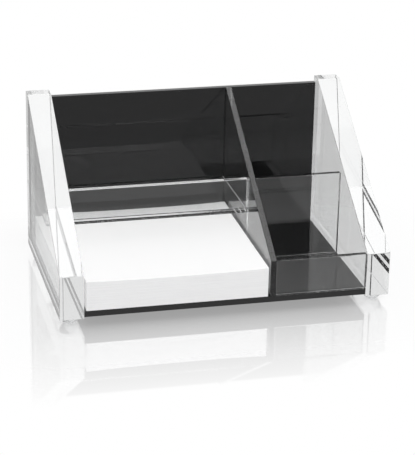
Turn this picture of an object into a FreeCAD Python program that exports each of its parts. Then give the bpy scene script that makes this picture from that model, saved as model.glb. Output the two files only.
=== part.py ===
import FreeCAD, Part
import os
from math import asin, degrees, hypot

# Clear acrylic desk holder for a block of memo paper, pens and paper clips.
# Two thick side panels stand on small domed feet and carry a black base and a
# black back panel. A clear divider makes a wide memo bay on the left and a
# narrow bay on the right, which a cross wall splits into a pen well behind
# and a clip tray in front. A clear sheet with a lip makes a shelf over the memo bay.
#
# Millimetres. X runs to the right as seen from the front, Y to the back and
# Z up. The origin is the middle of the footprint, on the desk.

# Block of memo paper and the room round it
MEMO_WIDTH = 90.0
MEMO_DEPTH = 90.0
MEMO_HEIGHT = 15.0
MEMO_SIDE_GAP = 1.0
MEMO_REAR_GAP = 7.0
MEMO_FLOOR_GAP = 0.1
FINGER_GAP = 11.0

# Side panels
PANEL_THICKNESS = 12.0
PANEL_HEIGHT = 84.0
PANEL_TOP_DEPTH = 7.0
PANEL_FRONT_HEIGHT = 22.5
PANEL_EDGE_BEVEL = 0.4

# Base plate between the panels, a little above their lower edges
BASE_THICKNESS = 3.0
BASE_LIFT = 1.0

# Back panel, standing on the base, with its top a little below the side panels'
BACK_THICKNESS = 3.0
BACK_DROP = 3.0

# Divider between the two bays
DIVIDER_THICKNESS = 3.0
DIVIDER_TOP_DEPTH = 2.0
PEN_BAY_WIDTH = 46.0

# Lip and cross wall share the place of their front faces and their top
MIDDLE_SETBACK = 47.0
SHELF_THICKNESS = 2.0
LIP_THICKNESS = 3.0
LIP_HEIGHT = 18.0
PARTITION_THICKNESS = 3.0

# Low wall at the front of the clip tray
FRONT_WALL_THICKNESS = 3.0

# Feet
FOOT_HEIGHT = 4.5
FOOT_RADIUS = 5.0
FOOT_FLAT_RADIUS = 2.0
FOOT_INSET = 8.0

# Places across the width
MEMO_BAY_WIDTH = MEMO_WIDTH + 2 * MEMO_SIDE_GAP
INNER_WIDTH = MEMO_BAY_WIDTH + DIVIDER_THICKNESS + PEN_BAY_WIDTH
INNER_LEFT = -INNER_WIDTH / 2
INNER_RIGHT = INNER_WIDTH / 2
DIVIDER_LEFT = INNER_LEFT + MEMO_BAY_WIDTH
DIVIDER_RIGHT = DIVIDER_LEFT + DIVIDER_THICKNESS

# Places from front to back
INNER_DEPTH = MEMO_DEPTH + MEMO_REAR_GAP
PANEL_DEPTH = INNER_DEPTH + BACK_THICKNESS
FRONT = -PANEL_DEPTH / 2
REAR = PANEL_DEPTH / 2
BACK_FRONT = REAR - BACK_THICKNESS
MIDDLE_FRONT = FRONT + MIDDLE_SETBACK
LIP_REAR = MIDDLE_FRONT + LIP_THICKNESS

# Heights
PANEL_BOTTOM = FOOT_HEIGHT
PANEL_TOP = PANEL_BOTTOM + PANEL_HEIGHT
SLANT_FOOT = PANEL_BOTTOM + PANEL_FRONT_HEIGHT
BASE_BOTTOM = PANEL_BOTTOM + BASE_LIFT
BASE_TOP = BASE_BOTTOM + BASE_THICKNESS
BACK_TOP = PANEL_TOP - BACK_DROP
MEMO_BOTTOM = BASE_TOP + MEMO_FLOOR_GAP
MEMO_TOP = MEMO_BOTTOM + MEMO_HEIGHT
SHELF_BOTTOM = MEMO_TOP + FINGER_GAP
SHELF_TOP = SHELF_BOTTOM + SHELF_THICKNESS
MIDDLE_TOP = SHELF_BOTTOM + LIP_HEIGHT


def box(low, high):
    """Return the block between two opposite corners."""
    size = [top - bottom for bottom, top in zip(low, high)]
    return Part.makeBox(*size, FreeCAD.Vector(*low))


def plate_across(edges, left, right):
    """Return the solid that closed edges in the YZ plane at X = left sweep to X = right."""
    face = Part.Face(Part.Wire(edges))
    return face.extrude(FreeCAD.Vector(right - left, 0, 0))


def point(x, y, z):
    """Return a point."""
    return FreeCAD.Vector(x, y, z)


def outline(x, corners):
    """Return the closed straight edges through (y, z) corners in the plane at x."""
    points = [point(x, y, z) for y, z in corners]
    return [Part.LineSegment(a, b).toShape() for a, b in zip(points, points[1:] + points[:1])]


def side_panel(left):
    """Return one thick side panel with its slanted front edge and eased edges."""
    corners = [
        (FRONT, PANEL_BOTTOM),
        (REAR, PANEL_BOTTOM),
        (REAR, PANEL_TOP),
        (REAR - PANEL_TOP_DEPTH, PANEL_TOP),
        (FRONT, SLANT_FOOT),
    ]
    panel = plate_across(outline(left, corners), left, left + PANEL_THICKNESS)
    return panel.makeChamfer(PANEL_EDGE_BEVEL, panel.Edges)


def base_plate():
    """Return the black floor plate between the side panels."""
    return box((INNER_LEFT, FRONT, BASE_BOTTOM), (INNER_RIGHT, REAR, BASE_TOP))


def back_panel():
    """Return the black upright panel that closes the back."""
    return box((INNER_LEFT, BACK_FRONT, BASE_TOP), (INNER_RIGHT, REAR, BACK_TOP))


def centre_divider():
    """Return the clear wall between the bays, which slants from the front up to the back panel."""
    corners = [
        (FRONT, BASE_TOP),
        (BACK_FRONT, BASE_TOP),
        (BACK_FRONT, BACK_TOP),
        (BACK_FRONT - DIVIDER_TOP_DEPTH, BACK_TOP),
        (FRONT, SLANT_FOOT),
    ]
    return plate_across(outline(DIVIDER_LEFT, corners), DIVIDER_LEFT, DIVIDER_RIGHT)


def memo_shelf():
    """Return the sheet over the rear of the memo bay, from the lip to the back panel."""
    return box((INNER_LEFT, LIP_REAR, SHELF_BOTTOM), (DIVIDER_LEFT, BACK_FRONT, SHELF_TOP))


def shelf_lip():
    """Return the upright strip in front of the shelf, flush with its underside."""
    return box((INNER_LEFT, MIDDLE_FRONT, SHELF_BOTTOM), (DIVIDER_LEFT, LIP_REAR, MIDDLE_TOP))


def pen_partition():
    """Return the cross wall between the pen well and the clip tray."""
    low = (DIVIDER_RIGHT, MIDDLE_FRONT, BASE_TOP)
    high = (INNER_RIGHT, MIDDLE_FRONT + PARTITION_THICKNESS, MIDDLE_TOP)
    return box(low, high)


def clip_front_wall():
    """Return the low wall at the front of the clip tray."""
    low = (DIVIDER_RIGHT, FRONT, BASE_TOP)
    high = (INNER_RIGHT, FRONT + FRONT_WALL_THICKNESS, SLANT_FOOT)
    return box(low, high)


def memo_block():
    """Return the block of paper, flush with the front of the base."""
    low = (INNER_LEFT + MEMO_SIDE_GAP, FRONT, MEMO_BOTTOM)
    high = (DIVIDER_LEFT - MEMO_SIDE_GAP, FRONT + MEMO_DEPTH, MEMO_TOP)
    return box(low, high)


def foot(x, y):
    """Return a domed foot with a small flat, a slice of one ball."""
    centre_z = (FOOT_RADIUS ** 2 - FOOT_FLAT_RADIUS ** 2 + FOOT_HEIGHT ** 2) / (2 * FOOT_HEIGHT)
    ball_radius = hypot(FOOT_FLAT_RADIUS, centre_z)
    low_angle = degrees(asin(-centre_z / ball_radius))
    high_angle = degrees(asin((FOOT_HEIGHT - centre_z) / ball_radius))
    centre = point(x, y, centre_z)
    return Part.makeSphere(ball_radius, centre, FreeCAD.Vector(0, 0, 1), low_angle, high_angle, 360)


def feet():
    """Return the four feet, one near each end of each side panel."""
    sides = {
        "left": INNER_LEFT - PANEL_THICKNESS / 2,
        "right": INNER_RIGHT + PANEL_THICKNESS / 2,
    }
    ends = {
        "front": FRONT + FOOT_INSET,
        "rear": REAR - FOOT_INSET,
    }
    return {f"{end}_{side}_foot": foot(x, y) for side, x in sides.items() for end, y in ends.items()}


def holder():
    """Return every piece of the holder by its name."""
    pieces = {
        "left_side_panel": side_panel(INNER_LEFT - PANEL_THICKNESS),
        "right_side_panel": side_panel(INNER_RIGHT),
        "base_plate": base_plate(),
        "back_panel": back_panel(),
        "centre_divider": centre_divider(),
        "memo_shelf": memo_shelf(),
        "shelf_lip": shelf_lip(),
        "pen_partition": pen_partition(),
        "clip_front_wall": clip_front_wall(),
        "memo_block": memo_block(),
    }
    pieces.update(feet())
    return pieces


os.makedirs("parts", exist_ok=True)
for name, shape in holder().items():
    shape.exportStep(os.path.join("parts", name + ".step"))
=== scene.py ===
"""Looks of the clear and black acrylic desk holder for a block of memo paper.

Every length is in metres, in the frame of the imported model: +X to the right as seen from the
front, +Y to the back, +Z up, with the floor at Z = 0.
"""

import logging
import random
from collections.abc import Iterator
from contextlib import contextmanager
from dataclasses import dataclass
from enum import Enum
from math import cos, hypot, inf, radians, sin
from typing import Any, TypeAlias

import bmesh
import bpy
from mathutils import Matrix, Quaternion, Vector


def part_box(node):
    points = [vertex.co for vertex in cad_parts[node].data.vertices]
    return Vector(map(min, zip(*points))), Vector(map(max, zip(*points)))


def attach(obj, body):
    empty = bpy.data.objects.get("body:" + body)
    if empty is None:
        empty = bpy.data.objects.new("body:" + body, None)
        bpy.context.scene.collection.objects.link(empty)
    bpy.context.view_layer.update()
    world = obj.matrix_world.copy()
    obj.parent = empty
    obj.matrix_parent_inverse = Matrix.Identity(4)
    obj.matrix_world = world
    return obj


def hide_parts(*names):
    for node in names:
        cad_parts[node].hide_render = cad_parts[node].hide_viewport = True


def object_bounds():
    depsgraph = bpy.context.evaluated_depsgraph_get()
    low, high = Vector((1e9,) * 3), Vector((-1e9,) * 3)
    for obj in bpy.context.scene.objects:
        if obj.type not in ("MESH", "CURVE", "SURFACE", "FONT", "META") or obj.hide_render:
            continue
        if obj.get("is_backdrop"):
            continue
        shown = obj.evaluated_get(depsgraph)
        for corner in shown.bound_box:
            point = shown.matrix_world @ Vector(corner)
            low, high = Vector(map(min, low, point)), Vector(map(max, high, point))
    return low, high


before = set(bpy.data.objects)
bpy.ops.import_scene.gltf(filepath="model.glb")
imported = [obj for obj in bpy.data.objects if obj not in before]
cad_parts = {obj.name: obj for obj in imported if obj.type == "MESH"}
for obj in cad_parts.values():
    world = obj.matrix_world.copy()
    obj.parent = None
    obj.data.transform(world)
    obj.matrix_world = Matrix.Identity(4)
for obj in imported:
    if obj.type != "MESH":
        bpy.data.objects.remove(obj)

log = logging.getLogger("holder")

MM = 0.001

# How far a piece keeps from its neighbour, or reaches into what it is cemented to
HAIR = 0.02 * MM

RIGHT = Vector((1.0, 0.0, 0.0))
BACK = Vector((0.0, 1.0, 0.0))
UP = Vector((0.0, 0.0, 1.0))

Colour: TypeAlias = tuple[float, float, float]
Value: TypeAlias = "Socket | float"

WHITE: Colour = (1.0, 1.0, 1.0)


class Body(Enum):
    """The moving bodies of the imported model."""

    HOLDER = "holder"
    MEMO_PAPER = "memo_paper"


class Slot(Enum):
    """The material slots of the record."""

    CLEAR_ACRYLIC = "clear_acrylic"
    CLEAR_SHEET = "clear_sheet"
    BLACK_ACRYLIC = "black_acrylic"
    MEMO_PAPER = "memo_paper"
    CLEAR_RUBBER = "clear_rubber"


@dataclass(frozen=True)
class Box:
    """The space that a piece fills, from its lowest to its highest corner."""

    low: Vector
    high: Vector

    @classmethod
    def of(cls, node: str) -> "Box":
        """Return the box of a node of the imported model."""
        return cls(*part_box(node))

    @property
    def middle(self) -> Vector:
        """The centre of the box."""
        return (self.low + self.high) / 2

    def shrunk(self, left: float = 0.0, right: float = 0.0, front: float = 0.0, rear: float = 0.0,
               bottom: float = 0.0, top: float = 0.0) -> "Box":
        """Draw the sides of the box in.

        Args:
            left: How far the side at the lowest X moves in.
            right: How far the side at the highest X moves in.
            front: How far the side at the lowest Y moves in.
            rear: How far the side at the highest Y moves in.
            bottom: How far the underside moves up.
            top: How far the top moves down.

        Returns:
            The smaller box, or a larger one where a number is negative.
        """
        low = self.low + Vector((left, front, bottom))
        high = self.high - Vector((right, rear, top))
        return Box(low, high)

    def grown(self, margin: float) -> "Box":
        """Return the box with all six sides moved out by a margin."""
        return self.shrunk(*(6 * [-margin]))

    def shares(self, point: Vector) -> Iterator[float]:
        """Return how far a point lies along the box's width, depth and height, from 0 to 1."""
        return ((place - low) / (high - low) for place, low, high in zip(point, self.low, self.high))


# Shader graphs


def rgba(colour: Colour) -> tuple[float, float, float, float]:
    """Return a colour as a socket holds it, with an alpha of 1."""
    return (*colour, 1.0)


@dataclass(frozen=True)
class Noise:
    """A soft random pattern.

    Attributes:
        scale: The number of features to the metre.
        detail: The number of finer layers that are added.
    """

    scale: float
    detail: float = 2.0


class Socket:
    """A number, colour or shader that a node gives. Numbers take part in Python sums."""

    def __init__(self, graph: "Graph", output: bpy.types.NodeSocket) -> None:
        """Wrap the output of a node in a graph."""
        self.graph = graph
        self.output = output

    def _maths(self, operation: str, first: Value, second: Value) -> "Socket":
        """Return a Math node's result for two values."""
        return self.graph.node("ShaderNodeMath", {0: first, 1: second}, operation=operation)["Value"]

    def __add__(self, other: Value) -> "Socket":
        """Return self + other."""
        return self._maths("ADD", self, other)

    def __radd__(self, other: Value) -> "Socket":
        """Return other + self."""
        return self._maths("ADD", other, self)

    def __sub__(self, other: Value) -> "Socket":
        """Return self - other."""
        return self._maths("SUBTRACT", self, other)

    def __rsub__(self, other: Value) -> "Socket":
        """Return other - self."""
        return self._maths("SUBTRACT", other, self)

    def __mul__(self, other: Value) -> "Socket":
        """Return self * other."""
        return self._maths("MULTIPLY", self, other)

    def __rmul__(self, other: Value) -> "Socket":
        """Return other * self."""
        return self._maths("MULTIPLY", other, self)

    def __truediv__(self, other: Value) -> "Socket":
        """Return self / other."""
        return self._maths("DIVIDE", self, other)

    def __pow__(self, other: Value) -> "Socket":
        """Return self to the power other."""
        return self._maths("POWER", self, other)

    def __abs__(self) -> "Socket":
        """Return the size of self without its sign."""
        return self._maths("ABSOLUTE", self, 0.0)

    def at_least(self, other: Value) -> "Socket":
        """Return the larger of self and other."""
        return self._maths("MAXIMUM", self, other)

    def at_most(self, other: Value) -> "Socket":
        """Return the smaller of self and other."""
        return self._maths("MINIMUM", self, other)

    def clamped(self) -> "Socket":
        """Return self held between 0 and 1."""
        return self.at_least(0.0).at_most(1.0)


class Graph:
    """The node tree of a material or of the world.

    Attributes:
        noise_middle: The middle of what a noise gives.
        border: How wide the border of a box's mask is, in which it goes from 0 to 1.
    """

    noise_middle: float = 0.5
    border: float = 0.001 * MM

    def __init__(self, owner: bpy.types.Material | bpy.types.World) -> None:
        """Empty the owner's node tree, so that it can be built from nothing.

        Args:
            owner: The material or the world that the nodes belong to.
        """
        owner.use_nodes = True
        self.tree = owner.node_tree
        self.tree.nodes.clear()

    def node(self, kind: str, inputs: dict[str | int, Any] | None = None,
             **settings: Any) -> dict[str, Socket]:
        """Add a node.

        Args:
            kind: The node's type.
            inputs: Values or links by the number or the identifier of a socket.
            settings: Properties of the node, set before its sockets.

        Returns:
            The node's outputs by name.
        """
        made = self.tree.nodes.new(kind)
        for name, value in settings.items():
            setattr(made, name, value)
        for name, value in (inputs or {}).items():
            target = self._input(made, name)
            if isinstance(value, Socket):
                self.tree.links.new(value.output, target)
            else:
                target.default_value = value
        return {output.name: Socket(self, output) for output in made.outputs if output.enabled}

    @staticmethod
    def _input(node: bpy.types.Node, name: str | int) -> bpy.types.NodeSocket:
        """Find an input of a node.

        Args:
            node: The node.
            name: The number or the identifier of the input. Names are not enough, because some
                inputs of a Mix node share theirs.

        Returns:
            The input.
        """
        if isinstance(name, int):
            return node.inputs[name]
        return next(socket for socket in node.inputs if socket.identifier == name)

    def place(self) -> Socket:
        """Return the place of the shaded point on its object."""
        return self.node("ShaderNodeTexCoord")["Object"]

    def parts(self, vector: Socket) -> dict[str, Socket]:
        """Return the X, Y and Z of a vector."""
        return self.node("ShaderNodeSeparateXYZ", {0: vector})

    def noise(self, place: Socket, noise: Noise) -> Socket:
        """Return a noise's value at a place, between 0 and 1."""
        inputs = {"Vector": place, "Scale": noise.scale, "Detail": noise.detail}
        return self.node("ShaderNodeTexNoise", inputs)["Fac"]

    def stretched(self, place: Socket, shares: tuple[float, float, float]) -> Socket:
        """Return a place with each of its axes scaled."""
        return self.node("ShaderNodeMapping", {"Vector": place, "Scale": shares})["Vector"]

    def inside(self, place: Socket, box: Box) -> Socket:
        """Mask a box.

        Args:
            place: The place that is looked at.
            box: The box.

        Returns:
            1 where the place lies in the box, and 0 elsewhere.
        """
        parts = self.parts(place)
        half = (box.high - box.low) / 2
        x, y, z = (half[axis] - abs(parts[name] - box.middle[axis]) for axis, name in enumerate("XYZ"))
        return (x.at_most(y).at_most(z) / self.border).clamped()

    def bump(self, height: Socket, distance: float, strength: float = 1.0) -> Socket:
        """Return a normal that is tilted by a height of up to a distance."""
        inputs = {"Height": height, "Strength": strength, "Distance": distance}
        return self.node("ShaderNodeBump", inputs)["Normal"]

    def blend(self, share: Value, first: Colour, second: Colour) -> Socket:
        """Return a colour between two colours."""
        inputs = {"Factor_Float": share, "A_Color": rgba(first), "B_Color": rgba(second)}
        return self.node("ShaderNodeMix", inputs, data_type="RGBA")["Result"]

    def mix(self, share: Value, first: Socket, second: Socket) -> Socket:
        """Return a shader between two shaders."""
        return self.node("ShaderNodeMixShader", {0: share, 1: first, 2: second})["Shader"]

    def matt(self, colour: Colour) -> Socket:
        """Return the shader of a matt surface."""
        return self.node("ShaderNodeBsdfDiffuse", {"Color": rgba(colour)})["BSDF"]

    def clear(self, colour: Colour = WHITE) -> Socket:
        """Return the shader of a surface that light passes straight, tinted by a colour."""
        return self.node("ShaderNodeBsdfTransparent", {"Color": rgba(colour)})["BSDF"]

    def seen(self) -> Socket:
        """Tell the rays that show a surface from those that light one.

        Returns:
            1 for a camera ray, also in gloss and through glass, and 0 for any other.
        """
        path = self.node("ShaderNodeLightPath")
        mirrored = path["Is Camera Ray"].at_least(path["Is Glossy Ray"])
        return mirrored.at_least(path["Is Transmission Ray"])


# Finishes


@dataclass(frozen=True)
class Finish:
    """A surface finish, made into a material once and shared by the pieces that have it."""

    name: str

    def material(self) -> bpy.types.Material:
        """Make the finish's material at its first use.

        Returns:
            The one material of the finish's name.
        """
        found = bpy.data.materials.get(self.name)
        if found is None:
            found = bpy.data.materials.new(self.name)
            graph = Graph(found)
            graph.node("ShaderNodeOutputMaterial", {"Surface": self.shader(graph)})
        return found

    def shader(self, graph: Graph) -> Socket:
        """Return the shader of the finish, built of nodes in a graph."""
        raise NotImplementedError


@dataclass(frozen=True)
class ClearAcrylic(Finish):
    """Clear cast acrylic with flame-polished edges.

    Attributes:
        tint: The share of each colour that a face lets through to the eye.
        index: The refractive index.
        shadow: The share of each colour that light keeps at a face that it passes straight.
        waves: The pattern of a cast sheet's slow waves.
        wave_height: How high the waves are.
        haze: The pattern of the haze.
        haziness: The roughness where the haze is thickest.
    """

    tint: Colour = (0.975, 0.98, 0.98)
    index: float = 1.49
    shadow: Colour = (0.97, 0.972, 0.972)
    waves: Noise = Noise(45.0)
    wave_height: float = 0.004 * MM
    haze: Noise = Noise(900.0, detail=4.0)
    haziness: float = 0.012

    def shader(self, graph: Graph) -> Socket:
        """Build glass with a faint haze and slow waves, which light passes straight.

        Args:
            graph: The graph that gets the nodes.

        Returns:
            The shader.
        """
        place = graph.place()
        glass = graph.node("ShaderNodeBsdfPrincipled", {
            "Base Color": rgba(self.tint),
            "Roughness": graph.noise(place, self.haze) * self.haziness,
            "IOR": self.index,
            "Transmission Weight": 1.0,
            "Normal": graph.bump(graph.noise(place, self.waves), self.wave_height),
        })["BSDF"]
        path = graph.node("ShaderNodeLightPath")
        lights = path["Is Shadow Ray"].at_least(path["Is Diffuse Ray"])
        return graph.mix(lights, glass, graph.clear(self.shadow))


@dataclass(frozen=True)
class SawnEdge(Finish):
    """The dull white of a sawn edge under a cemented seam, where the cement hasn't wetted it.

    Attributes:
        colour: The white of a dry edge.
        dry: How much of a dry edge is white.
        wet: How much of a wetted edge is white.
        dry_until: Where along the lip, from 0 at its left end to 1, the last of the dry edge ends.
        fade: The share of the lip over which it goes from dry to wetted.
        patches: The pattern of the cement's uneven run.
        patchiness: How much the patches change the white.
    """

    colour: Colour = (0.8, 0.8, 0.8)
    dry: float = 0.92
    wet: float = 0.15
    dry_until: float = 0.85
    fade: float = 0.3
    patches: Noise = Noise(500.0, detail=3.0)
    patchiness: float = 0.3

    def shader(self, graph: Graph) -> Socket:
        """Build dull white that turns patchy and clear towards the right end of the lip.

        Args:
            graph: The graph that gets the nodes.

        Returns:
            The shader.
        """
        place = graph.place()
        lip = Box.of("shelf_lip")
        along = (graph.parts(place)["X"] - lip.low.x) / (lip.high.x - lip.low.x)
        dry = ((self.dry_until - along) / self.fade).clamped()
        patches = (graph.noise(place, self.patches) - graph.noise_middle) * self.patchiness
        white = (self.wet + dry * (self.dry - self.wet) + patches).clamped()
        return graph.mix(white, graph.clear(), graph.matt(self.colour))


@dataclass(frozen=True)
class BlackAcrylic(Finish):
    """Opaque black acrylic with a mirror gloss, matt where a clear part is cemented to it.

    Attributes:
        colour: The black.
        index: The refractive index.
        dust: The pattern of the dust.
        dustiness: The roughness where the dust is thickest.
        waves: The pattern of a cast sheet's slow waves.
        wave_height: How high the waves are.
        cemented: The nodes whose seams are matt.
        cement_margin: How far the cement stands out round a seam.
        bubbles: The pattern of the bubbles in the cement.
        bubble_level: The value of that pattern from which there is a bubble.
        bubble_contrast: How sharp the rims of the bubbles are.
    """

    colour: Colour = (0.0035, 0.0035, 0.0037)
    index: float = 1.49
    dust: Noise = Noise(1400.0, detail=5.0)
    dustiness: float = 0.008
    waves: Noise = Noise(40.0)
    wave_height: float = 0.003 * MM
    cemented: tuple[str, ...] = ()
    cement_margin: float = 0.05 * MM
    bubbles: Noise = Noise(700.0, detail=1.0)
    bubble_level: float = 0.56
    bubble_contrast: float = 30.0

    def shader(self, graph: Graph) -> Socket:
        """Build a black mirror with matt seams, but for the bubbles in their cement.

        Args:
            graph: The graph that gets the nodes.

        Returns:
            The shader.
        """
        place = graph.place()
        seam: Value = 0.0
        for node in self.cemented:
            seam = graph.inside(place, Box.of(node).grown(self.cement_margin)).at_least(seam)
        above = graph.noise(place, self.bubbles) - self.bubble_level
        bubbles = (above * self.bubble_contrast).clamped()
        return graph.mix(seam * (1 - bubbles), self._mirror(graph), graph.matt(self.colour))

    def _mirror(self, graph: Graph) -> Socket:
        """Build the polished surface, with a trace of dust in its gloss.

        Args:
            graph: The graph that gets the nodes.

        Returns:
            The shader.
        """
        place = graph.place()
        return graph.node("ShaderNodeBsdfPrincipled", {
            "Base Color": rgba(self.colour),
            "Roughness": graph.noise(place, self.dust) * self.dustiness,
            "IOR": self.index,
            "Normal": graph.bump(graph.noise(place, self.waves), self.wave_height),
        })["BSDF"]


@dataclass(frozen=True)
class MemoPaper(Finish):
    """Uncoated white paper, cut in a block.

    Attributes:
        light: The white of a sheet's face.
        cut_edge_shade: The darkest that a sheet's cut edge gets, a painted shade between the sheets.
        fibres: The pattern of the fibres.
        fibre_height: How high the fibres stand.
        fibre_strength: How much of that height shows.
        smooth: The roughness where there is no fibre.
        fibre_roughness: What the fibres add to it.
        gloss: How strongly the paper mirrors.
        edges: The pattern of the cut edges, before it is flattened to sheets.
        edge_shares: How the axes are scaled for that pattern.
    """

    light: Colour = (0.92, 0.92, 0.92)
    # Painted shade: the cut edges are drawn darker for the fine shadows between the sheets.
    cut_edge_shade: Colour = (0.8, 0.8, 0.805)
    fibres: Noise = Noise(2600.0, detail=6.0)
    fibre_height: float = 0.02 * MM
    fibre_strength: float = 0.4
    smooth: float = 0.85
    fibre_roughness: float = 0.1
    gloss: float = 0.25
    edges: Noise = Noise(1.0, detail=1.0)
    edge_shares: tuple[float, float, float] = (40.0, 40.0, 3000.0)

    def shader(self, graph: Graph) -> Socket:
        """Build matt paper with fibres, and cut edges with painted shade, whose sheets differ a little.

        Args:
            graph: The graph that gets the nodes.

        Returns:
            The shader.
        """
        place = graph.place()
        fibres = graph.noise(place, self.fibres)
        sheets = graph.noise(graph.stretched(place, self.edge_shares), self.edges)
        up = graph.parts(graph.node("ShaderNodeNewGeometry")["Normal"])["Z"]
        # The cut edges are painted darker than the faces: painted shade for the fine shadows between the
        # sheets, varied at random from sheet to sheet.
        return graph.node("ShaderNodeBsdfPrincipled", {
            "Base Color": graph.blend((1 - abs(up)) * sheets, self.light, self.cut_edge_shade),
            "Roughness": self.smooth + fibres * self.fibre_roughness,
            "Specular IOR Level": self.gloss,
            "Normal": graph.bump(fibres, self.fibre_height, self.fibre_strength),
        })["BSDF"]


@dataclass(frozen=True)
class ClearRubber(Finish):
    """The soft clear rubber of a stuck-on bumper.

    Attributes:
        tint: The share of each colour that a face lets through.
        index: The refractive index.
        grain: The pattern of the grain.
        grain_height: How high the grain stands.
        grain_strength: How much of that height shows.
        smooth: The roughness where there is no grain.
        grain_roughness: What the grain adds to it.
    """

    tint: Colour = (0.86, 0.865, 0.87)
    index: float = 1.5
    grain: Noise = Noise(1800.0, detail=3.0)
    grain_height: float = 0.01 * MM
    grain_strength: float = 0.3
    smooth: float = 0.08
    grain_roughness: float = 0.08

    def shader(self, graph: Graph) -> Socket:
        """Build dull glass with a fine grain.

        Args:
            graph: The graph that gets the nodes.

        Returns:
            The shader.
        """
        grain = graph.noise(graph.place(), self.grain)
        return graph.node("ShaderNodeBsdfPrincipled", {
            "Base Color": rgba(self.tint),
            "Roughness": self.smooth + grain * self.grain_roughness,
            "IOR": self.index,
            "Transmission Weight": 1.0,
            "Normal": graph.bump(grain, self.grain_height, self.grain_strength),
        })["BSDF"]


CLEAR_SHEET = ClearAcrylic("clear sheet", shadow=(0.99, 0.99, 0.99))


# Modelling


@dataclass(frozen=True)
class Rounding:
    """How the edges of a piece are rounded.

    Attributes:
        radius: The radius of the round.
        steps: The number of flats in it.
        angle: The least turn of an edge that is rounded, in degrees.
    """

    radius: float
    steps: int
    angle: float = 30.0


class Workpiece:
    """A mesh that is shaped in edit mode where it belongs, and then polished.

    Attributes:
        reach: How near a corner has to be to a cut to lie on it.
        level: The least Z of the normal of a face that counts as level.
    """

    reach: float = 0.0001 * MM
    level: float = 0.9

    def __init__(self, name: str) -> None:
        """Take the active object, which is new, as the start of a piece, and fix its place.

        Args:
            name: The name of the piece.
        """
        self.shape = bpy.context.object
        self.shape.name = self.shape.data.name = name
        bpy.ops.object.transform_apply(location=True, rotation=True, scale=True)

    @classmethod
    def block(cls, name: str, box: Box) -> "Workpiece":
        """Start a piece as a block.

        Args:
            name: The name of the piece.
            box: The space that the block fills.

        Returns:
            The piece.
        """
        cls.select_nothing()
        bpy.ops.mesh.primitive_cube_add(size=1.0, location=box.middle)
        bpy.context.object.scale = box.high - box.low
        return cls(name)

    @classmethod
    def ball(cls, name: str, centre: Vector, radius: float, rings: int) -> "Workpiece":
        """Start a piece as a ball.

        Args:
            name: The name of the piece.
            centre: The centre of the ball.
            radius: The radius of the ball.
            rings: The number of faces from pole to pole, half of those round its equator.

        Returns:
            The piece.
        """
        cls.select_nothing()
        bpy.ops.mesh.primitive_uv_sphere_add(segments=2 * rings, ring_count=rings, radius=radius,
                                             location=centre)
        return cls(name)

    @staticmethod
    def select_nothing() -> None:
        """Leave no object selected, so that an operator acts on the new piece alone."""
        bpy.ops.object.select_all(action="DESELECT")

    @classmethod
    def select(cls, shape: bpy.types.Object) -> None:
        """Select one object alone and make it the active one.

        Args:
            shape: The object.
        """
        cls.select_nothing()
        shape.select_set(True)
        bpy.context.view_layer.objects.active = shape

    @contextmanager
    def editing(self) -> Iterator[None]:
        """Hold the piece, and nothing else, in edit mode.

        Yields:
            Nothing. The piece leaves edit mode when the block ends.
        """
        self.select(self.shape)
        bpy.ops.object.mode_set(mode="EDIT")
        bpy.ops.mesh.select_mode(type="FACE")
        try:
            yield
        finally:
            bpy.ops.object.mode_set(mode="OBJECT")

    @staticmethod
    def score(point: Vector, normal: Vector) -> None:
        """Add edges where a plane crosses the piece, in edit mode."""
        bpy.ops.mesh.select_all(action="SELECT")
        bpy.ops.mesh.bisect(plane_co=point, plane_no=normal)

    def pick_top(self, rear: float = inf) -> None:
        """Select the faces on top of the piece, and nothing else, in edit mode.

        Args:
            rear: The Y behind which faces are left out.
        """
        bpy.ops.mesh.select_all(action="DESELECT")
        mesh = bmesh.from_edit_mesh(self.shape.data)
        for face in mesh.faces:
            face.select_set(face.normal.z > self.level and face.calc_center_median().y < rear)
        bmesh.update_edit_mesh(self.shape.data)

    @staticmethod
    def extrude_up(height: float) -> None:
        """Draw the selected faces up by a height, in edit mode."""
        bpy.ops.mesh.extrude_region_move(TRANSFORM_OT_translate={"value": (0.0, 0.0, height)})

    def cut(self, point: Vector, normal: Vector) -> None:
        """Cut off what lies beyond a plane, and close the cut.

        Args:
            point: A point of the plane.
            normal: The direction from the plane to what is cut off.
        """
        with self.editing():
            bpy.ops.mesh.select_all(action="SELECT")
            bpy.ops.mesh.bisect(plane_co=point, plane_no=normal, threshold=self.reach, use_fill=True,
                                clear_outer=True)

    def polish(self, edges: Rounding) -> None:
        """Round the sharp edges of the piece and keep its flats flat.

        Args:
            edges: How the edges are rounded.
        """
        self.select(self.shape)
        bpy.ops.object.shade_smooth()
        bevel = self.shape.modifiers.new("polish", "BEVEL")
        bevel.width = edges.radius
        bevel.segments = edges.steps
        bevel.limit_method = "ANGLE"
        bevel.angle_limit = radians(edges.angle)
        bevel.harden_normals = True
        bpy.ops.object.modifier_apply(modifier=bevel.name)

    def copied(self, name: str, shift: Vector) -> "Workpiece":
        """Copy the piece to another place.

        Args:
            name: The name of the copy.
            shift: How far the copy lies from the piece.

        Returns:
            The copy, which has a mesh of its own.
        """
        shape = self.shape.copy()
        shape.data = self.shape.data.copy()
        shape.location = shift
        bpy.context.scene.collection.objects.link(shape)
        self.select(shape)
        return Workpiece(name)

    def hand_over(self, finish: Finish, slot: Slot, body: Body, *nodes: str) -> bpy.types.Object:
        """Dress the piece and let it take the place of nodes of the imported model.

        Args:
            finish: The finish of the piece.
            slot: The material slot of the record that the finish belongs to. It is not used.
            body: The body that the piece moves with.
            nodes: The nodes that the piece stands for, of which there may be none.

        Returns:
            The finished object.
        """
        self.shape.data.materials.clear()
        self.shape.data.materials.append(finish.material())
        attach(self.shape, body.value)
        if nodes:
            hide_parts(*nodes)
        return self.shape


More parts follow.
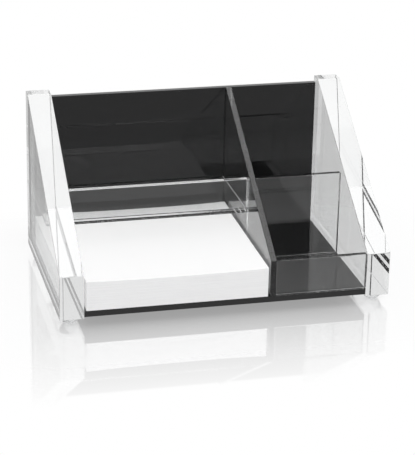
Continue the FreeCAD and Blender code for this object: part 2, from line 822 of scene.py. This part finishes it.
@dataclass(frozen=True)
class Slant:
    """A slanted front edge, from a foot at the front up to a flat top at the rear.

    Attributes:
        top_depth: The depth of the flat top.
        front_height: The height of the foot above the side panels' lower edges.
    """

    top_depth: float
    front_height: float = 22.5 * MM

    def cut(self, piece: Workpiece, space: Box) -> None:
        """Cut a piece along the slant.

        Args:
            piece: The piece.
            space: The box of its node, which holds the slant's upper end.
        """
        panel = Box.of("left_side_panel")
        foot = Vector((0.0, panel.low.y, panel.low.z + self.front_height))
        head = Vector((0.0, space.high.y - self.top_depth, space.high.z))
        rise = head - foot
        piece.cut(foot, Vector((0.0, -rise.z, rise.y)))


# Sub-assemblies


@dataclass
class SidePanels:
    """The two thick clear panels that carry everything else."""

    finish: Finish = ClearAcrylic("clear acrylic")
    slant: Slant = Slant(top_depth=7.0 * MM)
    edges: Rounding = Rounding(0.3 * MM, steps=3)

    def build(self) -> Iterator[bpy.types.Object]:
        """Model the left panel and copy it to the right.

        Yields:
            Each panel when it is finished.
        """
        left, right = Box.of("left_side_panel"), Box.of("right_side_panel")
        panel = Workpiece.block("left_panel", left)
        self.slant.cut(panel, left)
        panel.polish(self.edges)
        twin = panel.copied("right_panel", right.low - left.low)
        yield panel.hand_over(self.finish, Slot.CLEAR_ACRYLIC, Body.HOLDER, "left_side_panel")
        yield twin.hand_over(self.finish, Slot.CLEAR_ACRYLIC, Body.HOLDER, "right_side_panel")


@dataclass
class BlackPlates:
    """The black base and the black back, cemented between the side panels."""

    finish: Finish = BlackAcrylic("black acrylic", cemented=(
        "centre_divider", "memo_shelf", "pen_partition", "clip_front_wall", "right_side_panel"))
    edges: Rounding = Rounding(0.15 * MM, steps=2)

    def build(self) -> Iterator[bpy.types.Object]:
        """Model both plates, which reach into the panels so that no air is left between.

        Yields:
            Each plate when it is finished.
        """
        for node, name in (("base_plate", "black_base"), ("back_panel", "black_back")):
            plate = Workpiece.block(name, Box.of(node).shrunk(left=-HAIR, right=-HAIR))
            plate.polish(self.edges)
            yield plate.hand_over(self.finish, Slot.BLACK_ACRYLIC, Body.HOLDER, node)


@dataclass
class ClearWalls:
    """The upright clear sheets between and in front of the bays."""

    finish: Finish = CLEAR_SHEET
    slant: Slant = Slant(top_depth=2.0 * MM)
    edges: Rounding = Rounding(0.25 * MM, steps=3)

    def build(self) -> Iterator[bpy.types.Object]:
        """Model the divider, the cross wall and the low front wall.

        Yields:
            Each wall when it is finished.
        """
        whole = Box.of("centre_divider")
        divider = Workpiece.block("divider", whole.shrunk(rear=-HAIR, bottom=-HAIR))
        self.slant.cut(divider, whole)
        yield self._finished(divider, "centre_divider")
        for node, name in (("pen_partition", "cross_wall"), ("clip_front_wall", "front_wall")):
            space = Box.of(node).shrunk(left=HAIR, right=HAIR, bottom=-HAIR)
            yield self._finished(Workpiece.block(name, space), node)

    def _finished(self, wall: Workpiece, node: str) -> bpy.types.Object:
        """Polish a wall's edges and hand it over."""
        wall.polish(self.edges)
        return wall.hand_over(self.finish, Slot.CLEAR_SHEET, Body.HOLDER, node)


@dataclass
class MemoShelf:
    """The clear shelf over the paper and the lip cemented to its front edge.

    Attributes:
        finish: The finish of the shelf and the lip.
        front_edge: The finish of the shelf's sawn edge behind the lip.
        end_edge_and_glint: The finish of the shelf's sawn edge at the divider, and a painted glint.
        edges: How the edges of the clear body are rounded.
        seam_edges: How the edges of a seam are rounded.
        seam: The thickness of a seam.
        bead: How high the cement has wetted the front edge from below.
        fillet: How far it has wetted the front edge from above.
        line: How high the dry part of the end edge reaches, and so the painted glint.
    """

    finish: Finish = CLEAR_SHEET
    front_edge: Finish = SawnEdge("sawn front edge")
    # The end edge's white, left strong where wetted, is also a painted highlight for the glint of the
    # cement bead along the divider.
    end_edge_and_glint: Finish = SawnEdge("sawn end edge and painted glint", wet=0.9)
    edges: Rounding = Rounding(0.25 * MM, steps=3)
    seam_edges: Rounding = Rounding(0.01 * MM, steps=1)
    seam: float = 0.06 * MM
    bead: float = 0.75 * MM
    fillet: float = 0.36 * MM
    line: float = 0.45 * MM

    def build(self) -> Iterator[bpy.types.Object]:
        """Model the shelf and its lip as one clear body, with sawn edges and a painted glint in it.

        Yields:
            The body and each edge when it is finished.
        """
        flat, lip = Box.of("memo_shelf"), Box.of("shelf_lip")
        whole = Box(lip.low, flat.high).shrunk(left=HAIR, right=HAIR, rear=-HAIR)
        shelf = Workpiece.block("shelf", whole)
        with shelf.editing():
            shelf.score(lip.high, BACK)
            shelf.pick_top(rear=lip.high.y)
            shelf.extrude_up(lip.high.z - flat.high.z)
        shelf.polish(self.edges)
        yield shelf.hand_over(self.finish, Slot.CLEAR_SHEET, Body.HOLDER, "memo_shelf", "shelf_lip")
        low, high, seam = flat.low, flat.high, self.seam
        front = Box(Vector((low.x + seam, low.y, low.z + self.bead)),
                    Vector((high.x - seam, low.y + seam, high.z - self.fillet)))
        yield self._edge("shelf_front_seam", self.front_edge, front)
        # The white strip at the divider is also a painted highlight for the glint of the cement bead
        # there.
        end = Box(Vector((high.x - 2 * seam, low.y, low.z + seam)),
                  Vector((high.x - seam, high.y - seam, low.z + self.line)))
        yield self._edge("shelf_end_seam_and_glint", self.end_edge_and_glint, end)

    def _edge(self, name: str, finish: Finish, space: Box) -> bpy.types.Object:
        """Model a sawn edge of the shelf, which shows inside the clear body.

        Args:
            name: The name of the piece.
            finish: The finish of the edge.
            space: The thin space that it fills.

        Returns:
            The finished object.
        """
        edge = Workpiece.block(name, space)
        edge.polish(self.seam_edges)
        return edge.hand_over(finish, Slot.CLEAR_SHEET, Body.HOLDER)


@dataclass
class MemoBlock:
    """The block of loose paper in its bay.

    Attributes:
        finish: The finish of the paper.
        sheets: The number of sheets that are drawn.
        strips: The number of strips across a sheet, between which it can bend.
        unevenness: The most that a sheet's side is out of line.
        sag: How far the top sheet sags in the middle of its width.
        sag_rise: The power by which the sag grows from the lowest sheet to the top one.
        sag_spread: The power by which it fades from the middle of a sheet to its sides.
        seed: The start of the random draws.
    """

    finish: Finish = MemoPaper("memo paper")
    sheets: int = 64
    strips: int = 12
    unevenness: float = 0.12 * MM
    sag: float = 0.7 * MM
    sag_rise: int = 4
    sag_spread: int = 3
    seed: int = 7

    def build(self) -> Iterator[bpy.types.Object]:
        """Draw the block up sheet by sheet, each a little out of line with the last.

        Yields:
            The block when it is finished.
        """
        space = Box.of("memo_block")
        thickness = (space.high.z - space.low.z) / self.sheets
        lowest = Box(space.low, Vector((space.high.x, space.high.y, space.low.z + thickness)))
        block = Workpiece.block("paper_sheets", lowest)
        with block.editing():
            for number in range(1, self.strips):
                block.score(space.low.lerp(space.high, number / self.strips), RIGHT)
            block.pick_top()
            for _ in range(self.sheets - 1):
                block.extrude_up(0.0)
                block.extrude_up(thickness)
            self._fan(block, space)
        yield block.hand_over(self.finish, Slot.MEMO_PAPER, Body.MEMO_PAPER, "memo_block")

    def _fan(self, block: Workpiece, space: Box) -> None:
        """Draw each sheet's sides in by an amount of its own, and let the top sheets sag.

        Args:
            block: The block, in edit mode, with its corners in the order of its sheets.
            space: The box of the block.
        """
        mesh = bmesh.from_edit_mesh(block.shape.data)
        corners = list(mesh.verts)
        # Below and above, a sheet has a front and a rear corner at each side of each strip
        to_a_sheet = 4 * (self.strips + 1)
        draw = random.Random(self.seed)
        for first in range(0, len(corners), to_a_sheet):
            left, right, front, rear = (draw.uniform(0.0, self.unevenness) for _ in range(4))
            ends = {0: left, self.strips: -right}
            for corner in corners[first:first + to_a_sheet]:
                x, y, z = space.shares(corner.co)
                corner.co.x += ends.get(round(x * self.strips), 0.0)
                corner.co.y += -rear if round(y) else front
                corner.co.z -= self.sag * z ** self.sag_rise * (1 - abs(2 * x - 1) ** self.sag_spread)
        bmesh.update_edit_mesh(block.shape.data)


@dataclass
class Feet:
    """The four clear bumpers under the side panels.

    Attributes:
        finish: The finish of the bumpers.
        flat_radius: The radius of the flat that a bumper stands on.
        rings: The number of faces from pole to pole of the ball that it is cut from.
        edges: How the rims of its flats are rounded.
    """

    finish: Finish = ClearRubber("clear rubber")
    flat_radius: float = 2.0 * MM
    rings: int = 24
    edges: Rounding = Rounding(0.15 * MM, steps=2, angle=25.0)

    def build(self) -> Iterator[bpy.types.Object]:
        """Model one foot and copy it to the others.

        Yields:
            Each foot when it is finished.
        """
        node = "front_left_foot"
        space = Box.of(node).shrunk(top=HAIR)
        radius = (space.high.x - space.low.x) / 2
        height = space.high.z - space.low.z
        rise = (radius ** 2 - self.flat_radius ** 2 + height ** 2) / (2 * height)
        centre = Vector((space.middle.x, space.middle.y, space.low.z + rise))
        foot = Workpiece.ball("front_left_bumper", centre, hypot(self.flat_radius, rise), self.rings)
        foot.cut(space.low, -UP)
        foot.cut(space.high, UP)
        foot.polish(self.edges)
        for corner in ("front_right", "rear_left", "rear_right"):
            shift = Box.of(f"{corner}_foot").low - Box.of(node).low
            twin = foot.copied(f"{corner}_bumper", shift)
            yield twin.hand_over(self.finish, Slot.CLEAR_RUBBER, Body.HOLDER, f"{corner}_foot")
        yield foot.hand_over(self.finish, Slot.CLEAR_RUBBER, Body.HOLDER, node)


# Studio


@dataclass(frozen=True)
class StudioFloor(Finish):
    """A white glossy floor that mirrors what is near it and is plain white further out.

    Attributes:
        footprint: The width and depth of the object.
        colour: The white that takes the shadow.
        near_glow: The share of plain white close to the object.
        white_from: The distance from the object at which the floor is plain white.
        mirrored_front: How bright the object mirrors the floor in front and on its left.
        mirrored_rear: How bright it mirrors the floor behind and on its right.
        rear_from: Where that brighter part of the floor starts.
        rear_soft: The width of its soft border.
        mirror: How strongly the floor mirrors the object close to it.
        mirror_reach: The distance from the object at which the floor mirrors nothing.
        mirror_fall: The power by which the mirroring fades with that distance.
        gloss_roughness: The roughness of the mirroring.
    """

    footprint: Vector = Vector((0.0, 0.0))
    colour: Colour = (0.86, 0.86, 0.865)
    near_glow: float = 0.62
    white_from: float = 60.0 * MM
    mirrored_front: float = 0.6
    mirrored_rear: float = 0.84
    rear_from: Vector = Vector((-105.0, -40.0)) * MM
    rear_soft: float = 40.0 * MM
    mirror: float = 0.48
    mirror_reach: float = 105.0 * MM
    mirror_fall: float = 1.5
    gloss_roughness: float = 0.03

    def shader(self, graph: Graph) -> Socket:
        """Build the floor. Its white is a glow that lights nothing, and it keeps the shadow.

        Args:
            graph: The graph that gets the nodes.

        Returns:
            The shader, which is clear from below.
        """
        away = self._distance(graph)
        seen = graph.seen()
        mirrored = graph.mix(self._rear(graph), self._glow(graph, self.mirrored_front),
                             self._glow(graph, self.mirrored_rear))
        plain = graph.node("ShaderNodeLightPath")["Is Camera Ray"]
        white = graph.mix(plain, mirrored, self._glow(graph, 1.0))
        glow = (self.near_glow + (1 - self.near_glow) * (away / self.white_from).clamped()) * seen
        top = graph.mix(glow, graph.matt(self.colour), white)
        gloss = graph.node("ShaderNodeBsdfGlossy", {
            "Color": rgba(WHITE), "Roughness": self.gloss_roughness})["BSDF"]
        mirror = (1 - (away / self.mirror_reach).clamped()) ** self.mirror_fall * self.mirror
        below = graph.node("ShaderNodeNewGeometry")["Backfacing"]
        return graph.mix(below, graph.mix(mirror * seen, top, gloss), graph.clear())

    @staticmethod
    def _glow(graph: Graph, strength: float) -> Socket:
        """Return a white glow."""
        return graph.node("ShaderNodeEmission", {"Strength": strength})["Emission"]

    def _rear(self, graph: Graph) -> Socket:
        """Mask the part of the floor that is better lit.

        Args:
            graph: The graph that gets the nodes.

        Returns:
            1 behind the object and on its right, and 0 elsewhere.
        """
        parts = graph.parts(graph.place())
        right = ((parts["X"] - self.rear_from.x) / self.rear_soft).clamped()
        behind = ((parts["Y"] - self.rear_from.y) / self.rear_soft).clamped()
        return right * behind

    def _distance(self, graph: Graph) -> Socket:
        """Measure how far a point of the floor lies from the object's footprint.

        Args:
            graph: The graph that gets the nodes.

        Returns:
            The distance, which is 0 under the object.
        """
        parts = graph.parts(graph.place())
        beside = (abs(parts["X"]) - self.footprint.x / 2).at_least(0.0)
        ahead = (abs(parts["Y"]) - self.footprint.y / 2).at_least(0.0)
        return (beside ** 2.0 + ahead ** 2.0) ** 0.5


@dataclass(frozen=True)
class SoftBox:
    """A large soft lamp.

    Attributes:
        name: The name of the lamp.
        place: Where it hangs.
        aim: The point that it is turned to.
        size: The length of each of its sides.
        power: Its power in watts.
        mirrored: Whether polished faces mirror it.
    """

    name: str
    place: Vector
    aim: Vector
    size: float
    power: float
    mirrored: bool

    def hang(self) -> None:
        """Add the lamp. Through glass only the white studio shows."""
        data = bpy.data.lights.new(self.name, "AREA")
        data.shape = "SQUARE"
        data.size = self.size
        data.energy = self.power
        lamp = bpy.data.objects.new(self.name, data)
        bpy.context.scene.collection.objects.link(lamp)
        lamp.location = self.place
        lamp.rotation_mode = "QUATERNION"
        lamp.rotation_quaternion = (self.aim - self.place).to_track_quat("-Z", "Y")
        lamp.visible_camera = lamp.visible_transmission = False
        lamp.visible_glossy = self.mirrored


@dataclass
class Studio:
    """The white floor, the lamps and the white surroundings.

    Attributes:
        lamps: The lamps.
        floor_size: The length of each side of the floor.
        world_light: The strength of the surroundings as a light.
        ceiling: How bright the ceiling looks through the clear panels.
        rear_wall: How bright the wall behind the object looks through them.
        front_wall: How bright the wall in front of it looks through them.
        wall_top: The height at which a wall starts to turn into the ceiling, as a direction's Z.
        ceiling_from: The height from which all is ceiling, as a direction's Z.
        clear_bounces: How many clear faces a ray may pass or bounce off.
        gloss_bounces: How often it may be mirrored.
        straight_passes: How many clear faces light may pass straight.
        matt_bounces: How often it may bounce off matt faces.
    """

    lamps: tuple[SoftBox, ...] = (
        SoftBox("overhead softbox", place=Vector((0.1, -0.2, 1.1)), aim=Vector((0.0, 0.0, 0.0)),
                size=1.15, power=8.4, mirrored=True),
        SoftBox("front softbox", place=Vector((-0.5, -1.0, 0.7)), aim=Vector((0.0, 0.0, 0.03)),
                size=0.7, power=2.9, mirrored=False),
    )
    floor_size: float = 6.0
    world_light: float = 0.5
    ceiling: float = 0.96
    rear_wall: float = 0.74
    front_wall: float = 0.5
    wall_top: float = 0.35
    ceiling_from: float = 0.75
    clear_bounces: int = 40
    gloss_bounces: int = 16
    straight_passes: int = 64
    matt_bounces: int = 4

    def build(self) -> None:
        """Set up everything round the object."""
        self._floor()
        self._world()
        for lamp in self.lamps:
            lamp.hang()
        self._rendering()

    def _floor(self) -> None:
        """Add the floor, for the footprint that the object has without it."""
        low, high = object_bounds()
        Workpiece.select_nothing()
        bpy.ops.mesh.primitive_plane_add(size=self.floor_size)
        floor = Workpiece("floor").shape
        floor.data.materials.append(StudioFloor("studio floor", footprint=(high - low).xy).material())
        floor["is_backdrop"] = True

    def _world(self) -> None:
        """Surround the object with white, which looks greyer low down through the clear panels.

        The strengths are those that the panels' end faces show in the photograph. What lights the
        object is plain and weaker.
        """
        world = bpy.data.worlds.new("white studio")
        bpy.context.scene.world = world
        graph = Graph(world)
        parts = graph.parts(graph.node("ShaderNodeTexCoord")["Generated"])
        forward = ((1 - parts["Y"]) / 2).clamped()
        walls = graph.mix(forward, self._tone(graph, self.rear_wall), self._tone(graph, self.front_wall))
        height = ((parts["Z"] - self.wall_top) / (self.ceiling_from - self.wall_top)).clamped()
        through = graph.mix(height, walls, self._tone(graph, self.ceiling))
        path = graph.node("ShaderNodeLightPath")
        mirrored = path["Is Glossy Ray"] * (1 - path["Is Transmission Ray"])
        shown = graph.mix(mirrored, through, self._tone(graph, 1.0))
        surround = graph.mix(graph.seen(), self._tone(graph, self.world_light), shown)
        graph.node("ShaderNodeOutputWorld", {"Surface": surround})

    @staticmethod
    def _tone(graph: Graph, strength: float) -> Socket:
        """Return a white background of one strength."""
        inputs = {"Color": rgba(WHITE), "Strength": strength}
        return graph.node("ShaderNodeBackground", inputs)["Background"]

    def _rendering(self) -> None:
        """Let light pass as many clear faces as the holder has, and show colours as they are."""
        scene = bpy.context.scene
        scene.view_settings.view_transform = "Standard"
        scene.cycles.max_bounces = self.clear_bounces
        scene.cycles.transmission_bounces = self.clear_bounces
        scene.cycles.glossy_bounces = self.gloss_bounces
        scene.cycles.transparent_max_bounces = self.straight_passes
        scene.cycles.diffuse_bounces = self.matt_bounces


@dataclass(frozen=True)
class PhotoCamera:
    """The camera at the photograph's place and angle, found from forty points of the holder.

    Attributes:
        place: Where the camera stands.
        turn: How far it is turned to the right of straight ahead, along +Y.
        dip: How far it looks down.
        roll: How far it is turned about its own axis.
        lens: The focal length in millimetres.
        sensor: The width of the sensor in millimetres.
        nearest: The least distance that it shows.
        furthest: The greatest distance that it shows.
    """

    place: Vector = Vector((-0.21227, -0.85418, 0.37574))
    turn: float = radians(14.070)
    dip: float = radians(21.617)
    roll: float = radians(1.1725)
    lens: float = 147.883
    sensor: float = 36.0
    nearest: float = 0.05
    furthest: float = 50.0

    def set_up(self) -> None:
        """Add the camera and make it the scene's own."""
        data = bpy.data.cameras.new("camera")
        data.lens = self.lens
        data.sensor_width = self.sensor
        data.clip_start, data.clip_end = self.nearest, self.furthest
        camera = bpy.data.objects.new("camera", data)
        bpy.context.scene.collection.objects.link(camera)
        ahead = Vector((sin(self.turn) * cos(self.dip), cos(self.turn) * cos(self.dip), -sin(self.dip)))
        camera.location = self.place
        camera.rotation_mode = "QUATERNION"
        camera.rotation_quaternion = ahead.to_track_quat("-Z", "Y") @ Quaternion(UP, self.roll)
        bpy.context.scene.camera = camera


def main() -> None:
    """Build the holder and its studio, and report each piece of the holder."""
    logging.basicConfig(level=logging.INFO, format="%(message)s")
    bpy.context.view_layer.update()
    PhotoCamera().set_up()
    Studio().build()
    for assembly in (SidePanels(), BlackPlates(), ClearWalls(), MemoShelf(), MemoBlock(), Feet()):
        for piece in assembly.build():
            log.info("%s: %s, %d faces", type(assembly).__name__, piece.name, len(piece.data.polygons))


if __name__ == "__main__":
    main()
